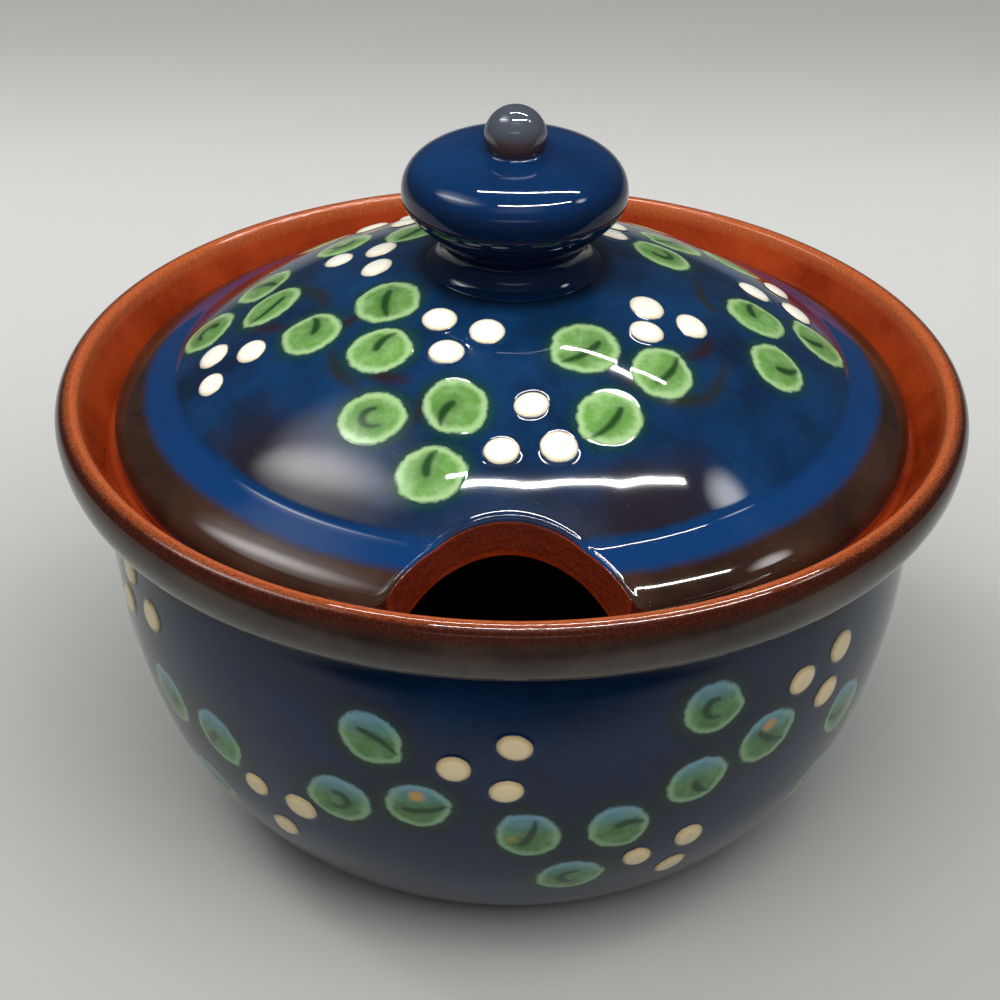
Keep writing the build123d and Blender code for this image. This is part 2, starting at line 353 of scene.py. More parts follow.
def slipPiece(name, node, wall, shapes, slip, form, seed):
    # one plain mesh of all the drops of a node, each pointing at the berries of its spray
    middles, axes = drops[node]
    berries = drops[node.split("_")[0] + "_berries"][0]
    rng = np.random.default_rng(seed)
    mesh = bpy.data.meshes.new(name + "Points")
    mesh.from_pydata((middles * mm).tolist(), [], [])
    aims = []
    for middle, axis in zip(middles, axes):
        far = np.linalg.norm(berries - middle, axis=1)
        heart = berries[np.argsort(far)[:berriesInSpray]].mean(0)
        aims.append(axis if axis @ (heart - middle) > 0 else -axis)
    picks = rng.integers(0, len(shapes.objects), len(middles)).astype(np.int32)
    for key, kind, field, values in [
        ("aim", "FLOAT_VECTOR", "vector", np.ravel(aims)), ("shape", "INT", "value", picks),
        ("tone", "FLOAT", "value", rng.random(len(middles))),
        ("middle", "FLOAT_VECTOR", "vector", np.ravel(middles * mm)),
    ]:
        mesh.attributes.new(key, kind, "POINT").data.foreach_set(field, values)
    points = newPiece(name + "Points", mesh)
    modifier = points.modifiers.new("slip", "NODES")
    modifier.node_group = slipTree
    values = {"Wall": wall, "Shapes": shapes, "Slip": slip, "Seed": seed,
              "Turn spread": math.radians(form["turnSpread"]), "Size spread": form["sizeSpread"]}
    for item in slipTree.interface.items_tree:
        if item.in_out == "INPUT" and item.name in values:
            modifier[item.identifier] = values[item.name]
    bpy.context.view_layer.update()
    graph = bpy.context.evaluated_depsgraph_get()
    made = bpy.data.meshes.new_from_object(points.evaluated_get(graph), preserve_all_data_layers=True,
                                           depsgraph=graph)
    bpy.data.objects.remove(points)
    made.name = name
    return newPiece(name, made)


# The pot, in mm

potSize = {
    "galleryWidth": 5.2, "clearance": 0.9, "rimFlare": 3.8, "lipInner": 1.2, "lipFall": 2.8,
    "bandHeight": 9.2, "bandDraw": 2.6, "undercut": 1.4, "neckHeight": 54.6, "neckLean": 0.175,
    "shoulderDrop": 17.2, "wall": 5.6, "floor": 6.0, "bellyHeight": 24.5, "bellyDraw": 4.6,
    "footRadius": 33.5, "footRing": 7.5, "footRecess": 1.5, "floorDraw": 2.5, "footEdge": 0.6,
    "glazeBlur": 0.32, "ringFine": 0.2, "ringCoarse": 0.95, "columns": 320,
    "brownEdge": (-0.3, 0.4), "lipEdge": (-2.4, -0.6),  # from the rim band's foot and its top
    "insideShadeEdge": (54, 61), "bareEdge": (0.9, 1.6),  # over the table
    "clayShare": 0.8, "clayFall": 4.2, "haloReach": 2.6, "fringeReach": 1.0,
}


def potOutline(s):
    # from the middle of the floor inside, up and over the lip, down to the foot and under it
    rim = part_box("pot")[1].x / mm
    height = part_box("pot")[1].z / mm
    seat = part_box("lid")[0].z / mm
    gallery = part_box("lid")[1].x / mm + s["clearance"]
    rimInner = gallery + s["rimFlare"]
    ledge = gallery - s["galleryWidth"]
    bowl = ledge + s["wall"]
    shoulder = height - s["shoulderDrop"]
    band = height - s["bandHeight"]
    belly = np.array([bowl - s["bellyDraw"], s["bellyHeight"]])
    down = (0, -1)
    upperOut, heading = arc((bowl, shoulder), belly, down)
    lowerOut, _ = arc(belly, (s["footRadius"], s["footEdge"]), heading)
    inward = np.array([heading[1], -heading[0]])
    bellyIn = belly + inward * s["wall"]
    upperIn, heading = arc((ledge, shoulder), bellyIn, down)
    lowerIn, _ = arc(bellyIn, (s["footRadius"] - s["floorDraw"], s["floor"]), heading)
    bandRoot = (bowl, band - s["undercut"])
    bandEdge = (rim - s["bandDraw"], band)
    crest = rimInner + s["lipInner"]
    quarter = np.linspace(0, math.pi / 2, 30)
    across, up = np.sin(quarter), np.cos(quarter)
    lipIn = np.stack([crest - s["lipInner"] * up, height - s["lipInner"] * (1 - across)], 1)
    lipOut = np.stack([crest + (rim - crest) * across, height - s["lipFall"] * (1 - up)], 1)
    bandArc, _ = arc(lipOut[-1], bandEdge, down)
    neck, _ = arc(bandRoot, (bowl, s["neckHeight"]), (-s["neckLean"], -1))
    ring = s["footRadius"] - s["footRing"]
    inside = [(0, s["floor"]), lowerIn[::-1], upperIn[::-1], (ledge, seat), (gallery, seat)]
    outside = [bandArc, neck, upperOut, lowerOut, (s["footRadius"] - s["footEdge"], 0)]
    under = [(ring, 0), (ring, s["footRecess"]), (0, s["footRecess"])]
    outline = inside + [lipIn, lipOut] + outside + under
    return softened(outline, s["glazeBlur"], s["ringFine"], s["ringCoarse"])


def potMarks(s, line, rings):
    # where the glaze changes over the pot
    height = line[:, 1][:, None]
    outside = (np.arange(len(line)) > np.argmax(line[:, 1])).astype(float)[:, None]
    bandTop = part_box("pot")[1].z / mm
    bandFoot = bandTop - s["bandHeight"] - s["undercut"] / 2
    lipClay = s["clayShare"] * np.clip((height - bandTop) / s["clayFall"] + 1, 0, 1)
    past = pastLeaf(rings, "pot_leaves")
    return {
        "brown": outside * fade(height, *s["brownEdge"], bandFoot),
        "clay": np.where(outside > 0, lipClay, 1),
        "lip": fade(height, *s["lipEdge"], bandTop),
        # painted shade: the glaze inside the pot is darkened below the gallery
        "deep": (1 - outside) * (1 - fade(height, *s["insideShadeEdge"])),
        "bare": outside * (1 - fade(height, *s["bareEdge"])),
        "halo": outside * np.exp(-(past / s["haloReach"]) ** 2),
        "fringe": outside * np.exp(-(past / s["fringeReach"]) ** 2),
    }


potLine = potOutline(potSize)
potRings = turned(potLine, potSize["columns"])
pot = newPiece("potBody", ringMesh("potBody", potRings, potMarks(potSize, potLine, potRings)))
print("pot:", len(potLine), "rings")


# The lid, in mm

lidSize = {
    "brimSlope": 4.3, "brimBand": 5.0, "edgeHeight": 3.5, "crownHeight": 6.2, "domeFoot": 8.2,
    "domeStep": 0.7, "domeBulge": 2.07, "wall": 3.8, "knobFoot": 11.4, "notchDepth": 12.0,
    "notchRadius": 18.3, "notchTaper": 10.0, "notchCorner": 3.0, "topRound": 1.0, "notchRound": 0.5,
    "beadAt": 0.5, "beadWidth": 0.36, "beadHeight": 0.1, "seatRound": 0.5, "seatWidth": 3.7,
    "hollowShare": 0.9, "glazeBlur": 0.3, "ringFine": 0.1, "ringCoarse": 0.5,
    "hub": 12.0, "hubRings": (0.7, 0.35, 0.05), "notchColumns": 46, "cornerColumns": 14, "rimColumns": 152,
    "closeReach": 12, "rowStep": 0.5, "rowCrowd": 0.4, "rimCrowd": 2.6, "bendCrowd": 0.8,
    "topRows": 58, "wallRows": 10, "underRows": 22,
    "brownEdge": (-2.4, 1.8), "poolAndShadeEdge": (0.5, 4),  # out from the brim's slope and from the knob's foot
    "brightEdge": (-1.0, 1.0), "thinStart": (-18, -2), "thinEnd": (-0.8, 0.6),  # out from the dome's foot
    "wallClay": (0.6, 0.3), "clayWear": (0.3, 0.5), "roughWear": (0.4, 0.6),  # shares of wall and round
    "haloReach": 1.6, "fringeReach": 0.9, "strokeWidth": 0.75,
}


def lidLines(s):
    # the top and the underside of the lid as height over radius
    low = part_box("lid")[0].z / mm
    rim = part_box("lid")[1].x / mm
    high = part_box("lid_knob")[0].z / mm
    domeFoot = np.array([rim - s["brimSlope"] - s["brimBand"], low + s["domeFoot"] + s["domeStep"]])
    domeTop = np.array([s["knobFoot"], high])
    chord = domeFoot - domeTop
    lean = 2 * math.atan(2 * s["domeBulge"] / np.hypot(*chord))
    heading = (chord[0] * math.cos(lean) - chord[1] * math.sin(lean),
               chord[0] * math.sin(lean) + chord[1] * math.cos(lean))
    dome, _ = arc(domeTop, domeFoot, heading, 80)
    ridge = (domeFoot[0] + s["domeStep"], low + s["domeFoot"])
    crown = (rim - s["brimSlope"], low + s["crownHeight"])
    slope, _ = arc(crown, (rim, low + s["edgeHeight"]), np.subtract(crown, ridge))
    run = np.gradient(dome, axis=0)
    inward = np.stack([run[:, 1], -run[:, 0]], 1) / np.hypot(*run.T)[:, None]
    hollow = (dome + inward * s["wall"])[:int(len(dome) * s["hollowShare"])]
    top = [(0, high), dome, ridge, slope]
    under = [(0, hollow[0, 1]), hollow, (rim - s["seatWidth"], low), (rim, low)]
    return [softened(line, s["glazeBlur"], s["ringFine"], s["ringCoarse"]) for line in (top, under)]


def notchedEdge(s):
    # the lid's edge seen from above, from the middle of the notch round by +X and back:
    # each point, its outward direction and its share of the notch
    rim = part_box("lid")[1].x / mm
    rho, corner = s["notchRadius"], s["notchCorner"]
    reach = rim - s["notchDepth"] + rho
    y = ((rho + corner) ** 2 - reach ** 2 - (rim - corner) ** 2) / (2 * reach)
    x = math.sqrt((rim - corner) ** 2 - y ** 2)
    notchEnd = math.atan2(x, y + reach)
    rimStart = math.atan2(x, -y)
    sweep = np.linspace(0, notchEnd, s["notchColumns"])[:-1]
    out = np.stack([-np.sin(sweep), -np.cos(sweep)], 1)
    notch = np.c_[-rho * out - [0, reach], out, 1 + 0 * sweep]
    sweep = np.linspace(-notchEnd, rimStart, s["cornerColumns"])[:-1]
    out = np.stack([np.sin(sweep), -np.cos(sweep)], 1)
    bend = np.c_[[x, y] + corner * out, out, np.linspace(1, 0, s["cornerColumns"])[:-1]]
    sweep = np.linspace(rimStart, math.pi, s["rimColumns"])
    out = np.stack([np.sin(sweep), -np.cos(sweep)], 1)
    rest = np.c_[rim * out, out, 0 * sweep]
    half = np.vstack([notch, bend, rest])
    other = half[-2:0:-1] * [-1, 1, -1, 1, 1]
    return np.vstack([half, other])


def awayFrom(points, line):
    # distance of each point, seen from above, from a closed line
    best = np.full(points.shape[:-1], farAway)
    for start, run in zip(line, np.roll(line, -1, 0) - line):
        share = np.clip(((points - start) @ run) / (run @ run), 0, 1)
        best = np.minimum(best, np.linalg.norm(points - start - share[..., None] * run, axis=-1))
    return best


def inwardRows(line, hub, close, count):
    # rows of points from a line in to the hub: first at the close distances, then evenly
    length = np.linalg.norm(hub - line, axis=1)
    even = np.linspace(close[-1] / length, 1 + 0 * length, count)[1:]
    steps = np.r_[np.array(close)[:, None] / length, even]
    return line + steps[..., None] * (hub - line)


def roundOff(gap, radius):
    # how far a rounded edge drops at a distance from it
    return radius - np.sqrt(np.maximum(radius ** 2 - np.maximum(radius - gap, 0) ** 2, 0))


def lidRings(s):
    # rings over the top, down the edge and in below, with each ring's share of the top,
    # each column's share of the notch, and how far the rounded edge has dropped
    top, under = lidLines(s)
    edge = notchedEdge(s)
    brink, outward, cut = edge[:, :2], edge[:, 2:4], edge[:, 4]
    far = np.r_[0, np.cumsum(np.linalg.norm(np.diff(np.vstack([brink, brink[:1]]), axis=0), axis=1))]
    turn = far[:-1] / far[-1] * 2 * math.pi
    hub = s["hub"] * np.stack([np.sin(turn), -np.cos(turn)], 1)
    taper = math.radians(s["notchTaper"])

    # the top, with a bead of glaze along the notch
    ridge = s["brimSlope"] + s["brimBand"] - s["domeStep"] / 2
    bends = [(0, s["rimCrowd"]), (s["brimSlope"], s["bendCrowd"]), (ridge, s["bendCrowd"])]
    close = [0.0]
    while close[-1] < s["closeReach"]:
        near = sum(math.exp(-((close[-1] - bend) / wide) ** 2) for bend, wide in bends)
        close.append(close[-1] + s["rowStep"] - s["rowCrowd"] * min(near, 1))
    plan = inwardRows(brink, hub, close, s["topRows"])
    soft = s["topRound"] + (s["notchRound"] - s["topRound"]) * cut
    gap = awayFrom(plan, brink) + soft * (1 - math.cos(taper)) * cut
    drop = roundOff(gap, soft)
    bead = s["beadHeight"] * np.exp(-((gap - s["beadAt"]) / s["beadWidth"]) ** 2) * cut
    upper = np.dstack([plan, np.interp(np.linalg.norm(plan, axis=2), *top.T) - drop + bead])[::-1]

    # the cut wall leans in towards the notch on its way down
    wallHigh = upper[-1, :, 2]
    wallLow = np.interp(np.linalg.norm(brink, axis=1), *under.T) + s["seatRound"]
    lean = (wallHigh - wallLow) * math.tan(taper) * cut
    foot = brink + outward * lean[:, None]
    share = np.linspace(0, 1, s["wallRows"])[1:-1][:, None, None]
    wall = np.dstack([brink + share * (foot - brink), wallHigh + share[..., 0] * (wallLow - wallHigh)])

    # the underside, with rows crowded at its rounded edge
    close = np.r_[0, 0.06, 0.14, 0.24, 0.36, 0.5, 0.8, 1.2, np.arange(1.8, 9, 0.6)]
    plan = inwardRows(foot, hub, close, s["underRows"])
    lift = roundOff(awayFrom(plan, foot), s["seatRound"])
    lower = np.dstack([plan, np.interp(np.linalg.norm(plan, axis=2), *under.T) + lift])
    ends = np.array(s["hubRings"])[:, None, None]
    crown = np.dstack([hub * ends[::-1], np.interp(s["hub"] * ends[::-1, :, 0], *top.T) + 0 * turn])
    ceiling = np.dstack([hub * ends, np.interp(s["hub"] * ends[:, :, 0], *under.T) + 0 * turn])
    rings = np.vstack([crown, upper, wall, lower, ceiling])
    topside = np.r_[np.ones(len(crown) + len(upper)), np.linspace(1, 0, len(wall) + 2)[1:-1],
                    np.zeros(len(lower) + len(ceiling))]
    worn = np.zeros(rings.shape[:2])
    worn[len(crown):len(crown) + len(upper)] = (drop / soft)[::-1]
    return rings, topside[:, None], cut, worn


# Brush strokes on the dome, as azimuth and share of the way out from the knob
oliveStrokes = [
    [(-60, 0.42), (-54, 0.54), (-48, 0.62), (-41, 0.65), (-33, 0.62), (-27, 0.59)],
    [(10, 0.41), (-1, 0.41), (-7, 0.45), (-7, 0.48)],
    [(174, 0.52), (182, 0.44), (192, 0.41)],
    [(-147, 0.50), (-139, 0.55), (-130, 0.56)],
    [(60, 0.45), (66, 0.55), (76, 0.60), (86, 0.56)],
    [(118, 0.36), (126, 0.47), (137, 0.50)],
]
rustStrokes = [
    [(-35, 0.49), (-29, 0.51), (-22, 0.50)],
    [(-174, 0.69), (-171, 0.63), (-168, 0.58)],
    [(-133, 0.48), (-127, 0.49), (-119, 0.47)],
    [(-112, 0.60), (-112, 0.53), (-111, 0.46)],
    [(-154, 0.41), (-154, 0.34)],
    [(46, 0.60), (52, 0.58), (57, 0.52)],
    [(98, 0.46), (104, 0.40), (108, 0.40)],
]

# Where the blue runs thin at the dome's foot, as azimuth and half width
thinPlaces = [(-66, 22), (-136, 26), (28, 16), (152, 18), (92, 14)]


def brushed(points, strokes, inner, outer, wide):
    # 1 on a stroke's line, fading to its sides and ends
    best = np.zeros(points.shape[:2])
    dabs = 24  # along each stroke
    for stroke in strokes:
        azimuth, share = np.array(stroke, float).T
        spots = np.linspace(0, len(stroke) - 1, dabs)
        azimuth = np.radians(np.interp(spots, np.arange(len(stroke)), azimuth))
        radius = inner + np.interp(spots, np.arange(len(stroke)), share) * (outer - inner)
        weight = np.sin(np.pi * np.linspace(0.12, 0.88, dabs)) ** 0.6
        for x, y, strong in zip(radius * np.cos(azimuth), radius * np.sin(azimuth), weight):
            away = np.hypot(points[..., 0] - x, points[..., 1] - y) / (wide * (0.6 + 0.6 * strong))
            best = np.maximum(best, strong * np.exp(-away ** 2))
    return best


def thinned(points):
    # 1 in the middle of each thin place, summed where they meet
    azimuth = np.degrees(np.arctan2(points[..., 1], points[..., 0]))
    return sum(np.exp(-(((azimuth - place + 180) % 360 - 180) / wide) ** 2) for place, wide in thinPlaces)


def lidMarks(s, rings, onTop, cut, worn):
    # where the glaze changes over the lid, point by point
    radius = np.linalg.norm(rings[..., :2], axis=2)
    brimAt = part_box("lid")[1].x / mm - s["brimSlope"]
    domeAt = brimAt - s["brimBand"]
    thin = fade(radius, *s["thinStart"], domeAt) * (1 - fade(radius, *s["thinEnd"], domeAt))
    past = pastLeaf(rings, "lid_leaves")
    wall = (onTop < 1) * (onTop > 0)
    olive, rust = (brushed(rings, strokes, s["knobFoot"], domeAt, s["strokeWidth"])
                   for strokes in (oliveStrokes, rustStrokes))
    return {
        "brown": onTop * fade(radius, *s["brownEdge"], brimAt),
        "clay": np.maximum.reduce([fade(onTop, *s["wallClay"]) + 0 * worn, (onTop < 1) * cut,
                                   cut * fade(worn, *s["clayWear"])]),
        # rough where the notch is cut or its edge worn; the same mark darkens the colour there as painted
        # shade
        "roughAndShadedCut": np.maximum(wall, fade(worn, *s["roughWear"])) * cut,
        "bright": onTop * fade(radius, *s["brightEdge"], domeAt),
        "thin": onTop * thin * thinned(rings),
        "halo": onTop * np.exp(-(past / s["haloReach"]) ** 2),
        "fringe": onTop * np.exp(-(past / s["fringeReach"]) ** 2),
        # pooled glaze round the knob's foot, darkened further as painted shade under the knob
        "pooledGlazeAndShade": onTop * (1 - fade(radius, *s["poolAndShadeEdge"], s["knobFoot"])),
        "olive": onTop * olive,
        "rust": onTop * rust,
    }


rings, *shares = lidRings(lidSize)
lid = newPiece("lidDome", ringMesh("lidDome", rings, lidMarks(lidSize, rings, *shares)))
print("lid:", rings.shape[:2], "points")


# The knob and its tip

knobSize = {
    "neck": 9.7, "flareReach": 12.4, "neckHeight": 3.4, "equator": 10.7, "tipSeat": 4.0, "bellyFall": 1.7,
    "bellyFlare": 5.0, "crownFullness": 0.75, "crownFlatness": 0.59, "glazeBlur": 0.25, "ringFine": 0.15,
    "ringCoarse": 0.5, "columns": 160, "poolAndShadeEdge": (1.0, 5.2),  # the edge of the pooled glaze and painted shade, over the equator
}
tipSize = {
    "fillet": 0.35, "spread": 0.5, "sink": 0.04, "waistDraw": 0.08, "waistFall": 0.2, "toe": 0.25,
    "glazeBlur": 0.12, "ringFine": 0.12, "ringCoarse": 0.35, "columns": 72, "poolAndShadeEdge": (0, 0.8),
    "paintedTopSheenEdge": (1.0, 4.6),  # both edges over the foot
}


def knobOutline(s):
    low, high = (corner.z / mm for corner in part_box("lid_knob"))
    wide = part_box("lid_knob")[1].x / mm
    equator = low + s["equator"]
    shoulder = s["tipSeat"] + (wide - s["tipSeat"]) * s["crownFlatness"]
    cheek = equator + (high - equator) * s["crownFullness"]
    crown = curve((s["tipSeat"], high), (shoulder, high), (wide, cheek), (wide, equator))
    neckTop = (s["neck"], low + s["neckHeight"])
    belly = curve((wide, equator), (wide, equator - s["bellyFall"]),
                  (neckTop[0] + s["bellyFlare"], neckTop[1] + s["bellyFlare"]), neckTop)
    flareFoot = (s["flareReach"], np.interp(s["flareReach"], *lidLines(lidSize)[0].T))
    flare, _ = arc(neckTop, flareFoot, (0, -1))
    outline = [(0, high), crown, belly, flare, (0, flareFoot[1])]
    return softened(outline, s["glazeBlur"], s["ringFine"], s["ringCoarse"])


def tipOutline(s):
    # a ball on a small fillet
    low, high = (corner.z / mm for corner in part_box("knob_tip"))
    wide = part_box("knob_tip")[1].x / mm
    foot = low - s["sink"]
    waist = low + s["fillet"]
    below = high - wide - waist
    side = math.sqrt(wide ** 2 - below ** 2)
    ball, _ = arc((side, waist), (0, high), (below, side))
    spread = side + s["spread"]
    fillet = curve((side, waist), (side - s["waistDraw"], waist - s["waistFall"]),
                   (spread - s["toe"], foot), (spread, foot), 20)
    return softened([ball[::-1], fillet, (0, foot)], s["glazeBlur"], s["ringFine"], s["ringCoarse"])


knobLine = knobOutline(knobSize)
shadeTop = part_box("lid_knob")[0].z / mm + knobSize["equator"]
# painted shade on the knob's belly below its equator, with the glaze pooled at the neck
knobMarks = {"pooledGlazeAndShade": (1 - fade(knobLine[:, 1], *knobSize["poolAndShadeEdge"], shadeTop))[:, None]}
knob = newPiece("knobBody", ringMesh("knobBody", turned(knobLine, knobSize["columns"]), knobMarks))
tipLine = tipOutline(tipSize)
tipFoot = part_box("knob_tip")[0].z / mm
# blue glaze at the tip's foot, and a painted sheen over its top
tipMarks = {"pooledGlazeAndShade": (1 - fade(tipLine[:, 1], *tipSize["poolAndShadeEdge"], tipFoot))[:, None],
            "paintedTopSheen": fade(tipLine[:, 1], *tipSize["paintedTopSheenEdge"], tipFoot)[:, None]}
tip = newPiece("knobButton", ringMesh("knobButton", turned(tipLine, tipSize["columns"]), tipMarks))
print("knob and tip made")


# Materials

def newMaterial(name, look):
    # a material with its plain finish, and a place in mm for its patterns
    material = bpy.data.materials.new(name)
    material.use_nodes = True
    tree = material.node_tree
    shader = tree.nodes["Principled BSDF"]
    shader.inputs["Roughness"].default_value = look["roughness"]
    shader.inputs["IOR"].default_value = look["ior"]
    place = add(tree, "ShaderNodeTexCoord").outputs["Object"]
    place = add(tree, "ShaderNodeVectorMath", {0: place, "Scale": 1 / mm}, operation="SCALE")
    return material, tree, shader, place


def ragged(tree, name, noise, amount, low, high):
    # an attribute's border between low and high, broken up by an amount of noise
    mark = add(tree, "ShaderNodeAttribute", attribute_name=name).outputs["Fac"]
    wobble = add(tree, "ShaderNodeMath", {0: noise, 1: 0.5}, operation="SUBTRACT")
    value = add(tree, "ShaderNodeMath", {0: wobble, 1: amount, 2: mark}, operation="MULTIPLY_ADD")
    return add(tree, "ShaderNodeMapRange", {"Value": value, "From Min": low, "From Max": high},
               interpolation_type="SMOOTHSTEP")


def layered(tree, base, layers):
    # colours laid over each other, each by its mask, or the attribute of that name, times its amount
    base = linear(base) if isinstance(base, str) else base
    for mask, amount, colour in layers:
        if isinstance(mask, str):
            mask = add(tree, "ShaderNodeAttribute", attribute_name=mask).outputs["Fac"]
        if isinstance(colour, str):
            colour = linear(colour)
        share = add(tree, "ShaderNodeMath", {0: mask, 1: amount}, operation="MULTIPLY")
        base = add(tree, "ShaderNodeMix", {0: share, 6: base, 7: colour}, data_type="RGBA").outputs[2]
    return base


# Cobalt glaze over red earthenware: wet gloss, deep colour that pools and thins, pale pinhole specks, and
# painted shade under the knob, inside the pot and on the notch's cut face.
# Pattern sizes and depths are in mm.
glazeLook = {
    "roughness": 0.045, "ior": 1.43, "bareDull": 0.7, "cutDull": 0.25,
    "mottle": 14, "cloud": 36, "grain": 0.8, "fine": 0.3, "wave": 8.0, "waveDepth": 0.03, "toothDepth": 0.25,
    "speck": 0.9, "speckSize": 0.1, "speckCore": 0.4, "speckRare": 0.6, "speckColour": "#8294aa",
    "clayGrit": 0.22, "gritDark": 0.75, "gritPale": 0.8, "gritShare": 0.03, "lipGrit": 0.12, "cutGrit": 0.06,
    "clayDeep": "#7c260a", "clayLight": "#a33d17", "clayDark": "#5a1a08", "clayPale": "#dd9a68",
    "lip": "#b25a30", "burnt": "#30130b", "cut": "#3a1009", "deep": "#2b1008", "pooledGlazeAndShade": "#04080f",
    "bareDeep": "#96502f", "bareLight": "#b97a55", "brownDeep": "#241b18", "brownLight": "#44382f",
    "thin": "#241a1b", "olive": "#26260f", "rust": "#2c1810",
}


def cobalt(tree, place, blues, look):
    # the blue, lighter where the glaze thins, with its noise and the share of the lighter blue
    mottle = add(tree, "ShaderNodeTexNoise",
                 {"Vector": place, "Scale": 1 / look["mottle"], "Detail": 5.0, "Roughness": 0.6})
    spread = add(tree, "ShaderNodeMapRange", {"Value": mottle, "From Min": 0.35, "From Max": 0.68})
    return layered(tree, blues[0], [(spread, 1, blues[1])]), mottle, spread


def makeGlaze(name, blues, bright, halo, haloAmount, fringe, look):
    material, tree, shader, place = newMaterial(name, look)
    blue, mottle, spread = cobalt(tree, place, blues, look)
    cloud, grain, fine, wave = (
        add(tree, "ShaderNodeTexNoise", {"Vector": place, "Scale": 1 / look[key], "Detail": detail})
        for key, detail in [("cloud", 3.0), ("grain", 3.0), ("fine", 2.0), ("wave", 1.0)])
    grit, specks = (add(tree, "ShaderNodeTexVoronoi", {"Vector": place, "Scale": 1 / look[key]})
                    for key in ("clayGrit", "speck"))
    lip, roughAndShadedCut, bareness = (add(tree, "ShaderNodeAttribute", attribute_name=mark).outputs["Fac"]
                            for mark in ("lip", "roughAndShadedCut", "bare"))

    # pale pinholes, few of them
    core = look["speckSize"] * look["speckCore"]
    speck = add(tree, "ShaderNodeMapRange",
                {"Value": specks.outputs["Distance"], "From Min": look["speckSize"], "From Max": core})
    rare = add(tree, "ShaderNodeSeparateColor", {0: specks.outputs["Color"]})
    few = add(tree, "ShaderNodeMath", {0: rare, 1: look["speckRare"]}, operation="GREATER_THAN")
    speck = add(tree, "ShaderNodeMath", {0: speck, 1: few}, operation="MULTIPLY")

    # dark and pale grit in the clay, most of it on the lip
    tone = add(tree, "ShaderNodeSeparateColor", {0: grit.outputs["Color"]}).outputs
    dark = add(tree, "ShaderNodeMath", {0: tone[0], 1: look["gritDark"]}, operation="GREATER_THAN")
    pale = add(tree, "ShaderNodeMath", {0: tone[1], 1: look["gritPale"]}, operation="GREATER_THAN")
    gritty = add(tree, "ShaderNodeMath", {0: lip, 1: look["lipGrit"], 2: look["gritShare"]},
                 operation="MULTIPLY_ADD")
    gritty = add(tree, "ShaderNodeMath", {0: roughAndShadedCut, 1: look["cutGrit"], 2: gritty}, operation="MULTIPLY_ADD")
    clay = layered(tree, look["clayDeep"], [
        (spread, 1, look["clayLight"]), (lip, 0.8, look["lip"]),
        (dark, gritty, look["clayDark"]), (pale, gritty, look["clayPale"])])
    burnt = layered(tree, look["burnt"], [(pale, 0.09, look["clayLight"])])
    bare = layered(tree, look["bareDeep"], [(grain, 1, look["bareLight"])])
    brown = layered(tree, look["brownDeep"], [(spread, 1, look["brownLight"])])

    # a border has its noise's amount and the range it fades over, then come the layer's strength and colour
    colour = layered(tree, blue, [
        (ragged(tree, "bright", cloud, 0.8, 0.3, 1.0), 0.9, bright),
        (ragged(tree, "thin", cloud, 1.8, 0.35, 1.1), 0.88, look["thin"]),
        (ragged(tree, "halo", mottle, 0.6, 0.1, 1.0), haloAmount, halo),
        (ragged(tree, "fringe", grain, 0.5, 0.1, 1.2), 0.6, fringe),
        ("olive", 0.85, look["olive"]),
        ("rust", 0.85, look["rust"]),
        (ragged(tree, "brown", mottle, 0.5, 0.2, 0.8), 1, brown),
        (speck, 0.35, look["speckColour"]),
        # pooled glaze and painted shade, darkest under the knob
        ("pooledGlazeAndShade", 0.9, look["pooledGlazeAndShade"]),
        (ragged(tree, "clay", fine, 0.25, 0.2, 0.62), 1, burnt),
        (ragged(tree, "clay", fine, 0.16, 0.68, 0.86), 1, clay),
        # painted shade: the notch's cut face is darkened, as it faces down and away from the light
        (roughAndShadedCut, 0.8, look["cut"]),
        # painted shade inside the pot, below the gallery
        ("deep", 0.85, look["deep"]),
        (ragged(tree, "bare", grain, 0.4, 0.35, 0.65), 1, bare)])
    tree.links.new(colour, shader.inputs["Base Color"])

    # dull and toothed where the clay is bare or cut, and a slow swell elsewhere
    dull = add(tree, "ShaderNodeMath", {0: bareness, 1: look["bareDull"], 2: look["roughness"]},
               operation="MULTIPLY_ADD")
    dull = add(tree, "ShaderNodeMath", {0: roughAndShadedCut, 1: look["cutDull"], 2: dull}, operation="MULTIPLY_ADD")
    tree.links.new(dull.outputs[0], shader.inputs["Roughness"])
    swell = add(tree, "ShaderNodeBump", {"Height": wave, "Strength": 1.0, "Distance": look["waveDepth"] * mm})
    tooth = add(tree, "ShaderNodeMath", {0: grain, 1: roughAndShadedCut}, operation="MULTIPLY")
    bumped = add(tree, "ShaderNodeBump", {"Height": tooth, "Strength": 1.0, "Normal": swell,
                                          "Distance": look["toothDepth"] * mm})
    tree.links.new(bumped.outputs[0], shader.inputs["Normal"])
    return material


# Copper-green slip under the same clear glaze: pale at the rim where it is thin, dark where the glaze pools
leafLook = {
    "roughness": glazeLook["roughness"], "ior": glazeLook["ior"], "cloud": 1.8, "rimWobble": 0.3,
    "paleRim": (0.85, 1.1), "edge": (1.1, 1.26), "patch": (0.4, 0.7), "washHeight": 4.2,
    "ochre": "#b8863c", "ochreAt": (0.1, 0.5, 0.9), "ochreReach": (0.34, 0.1),
}


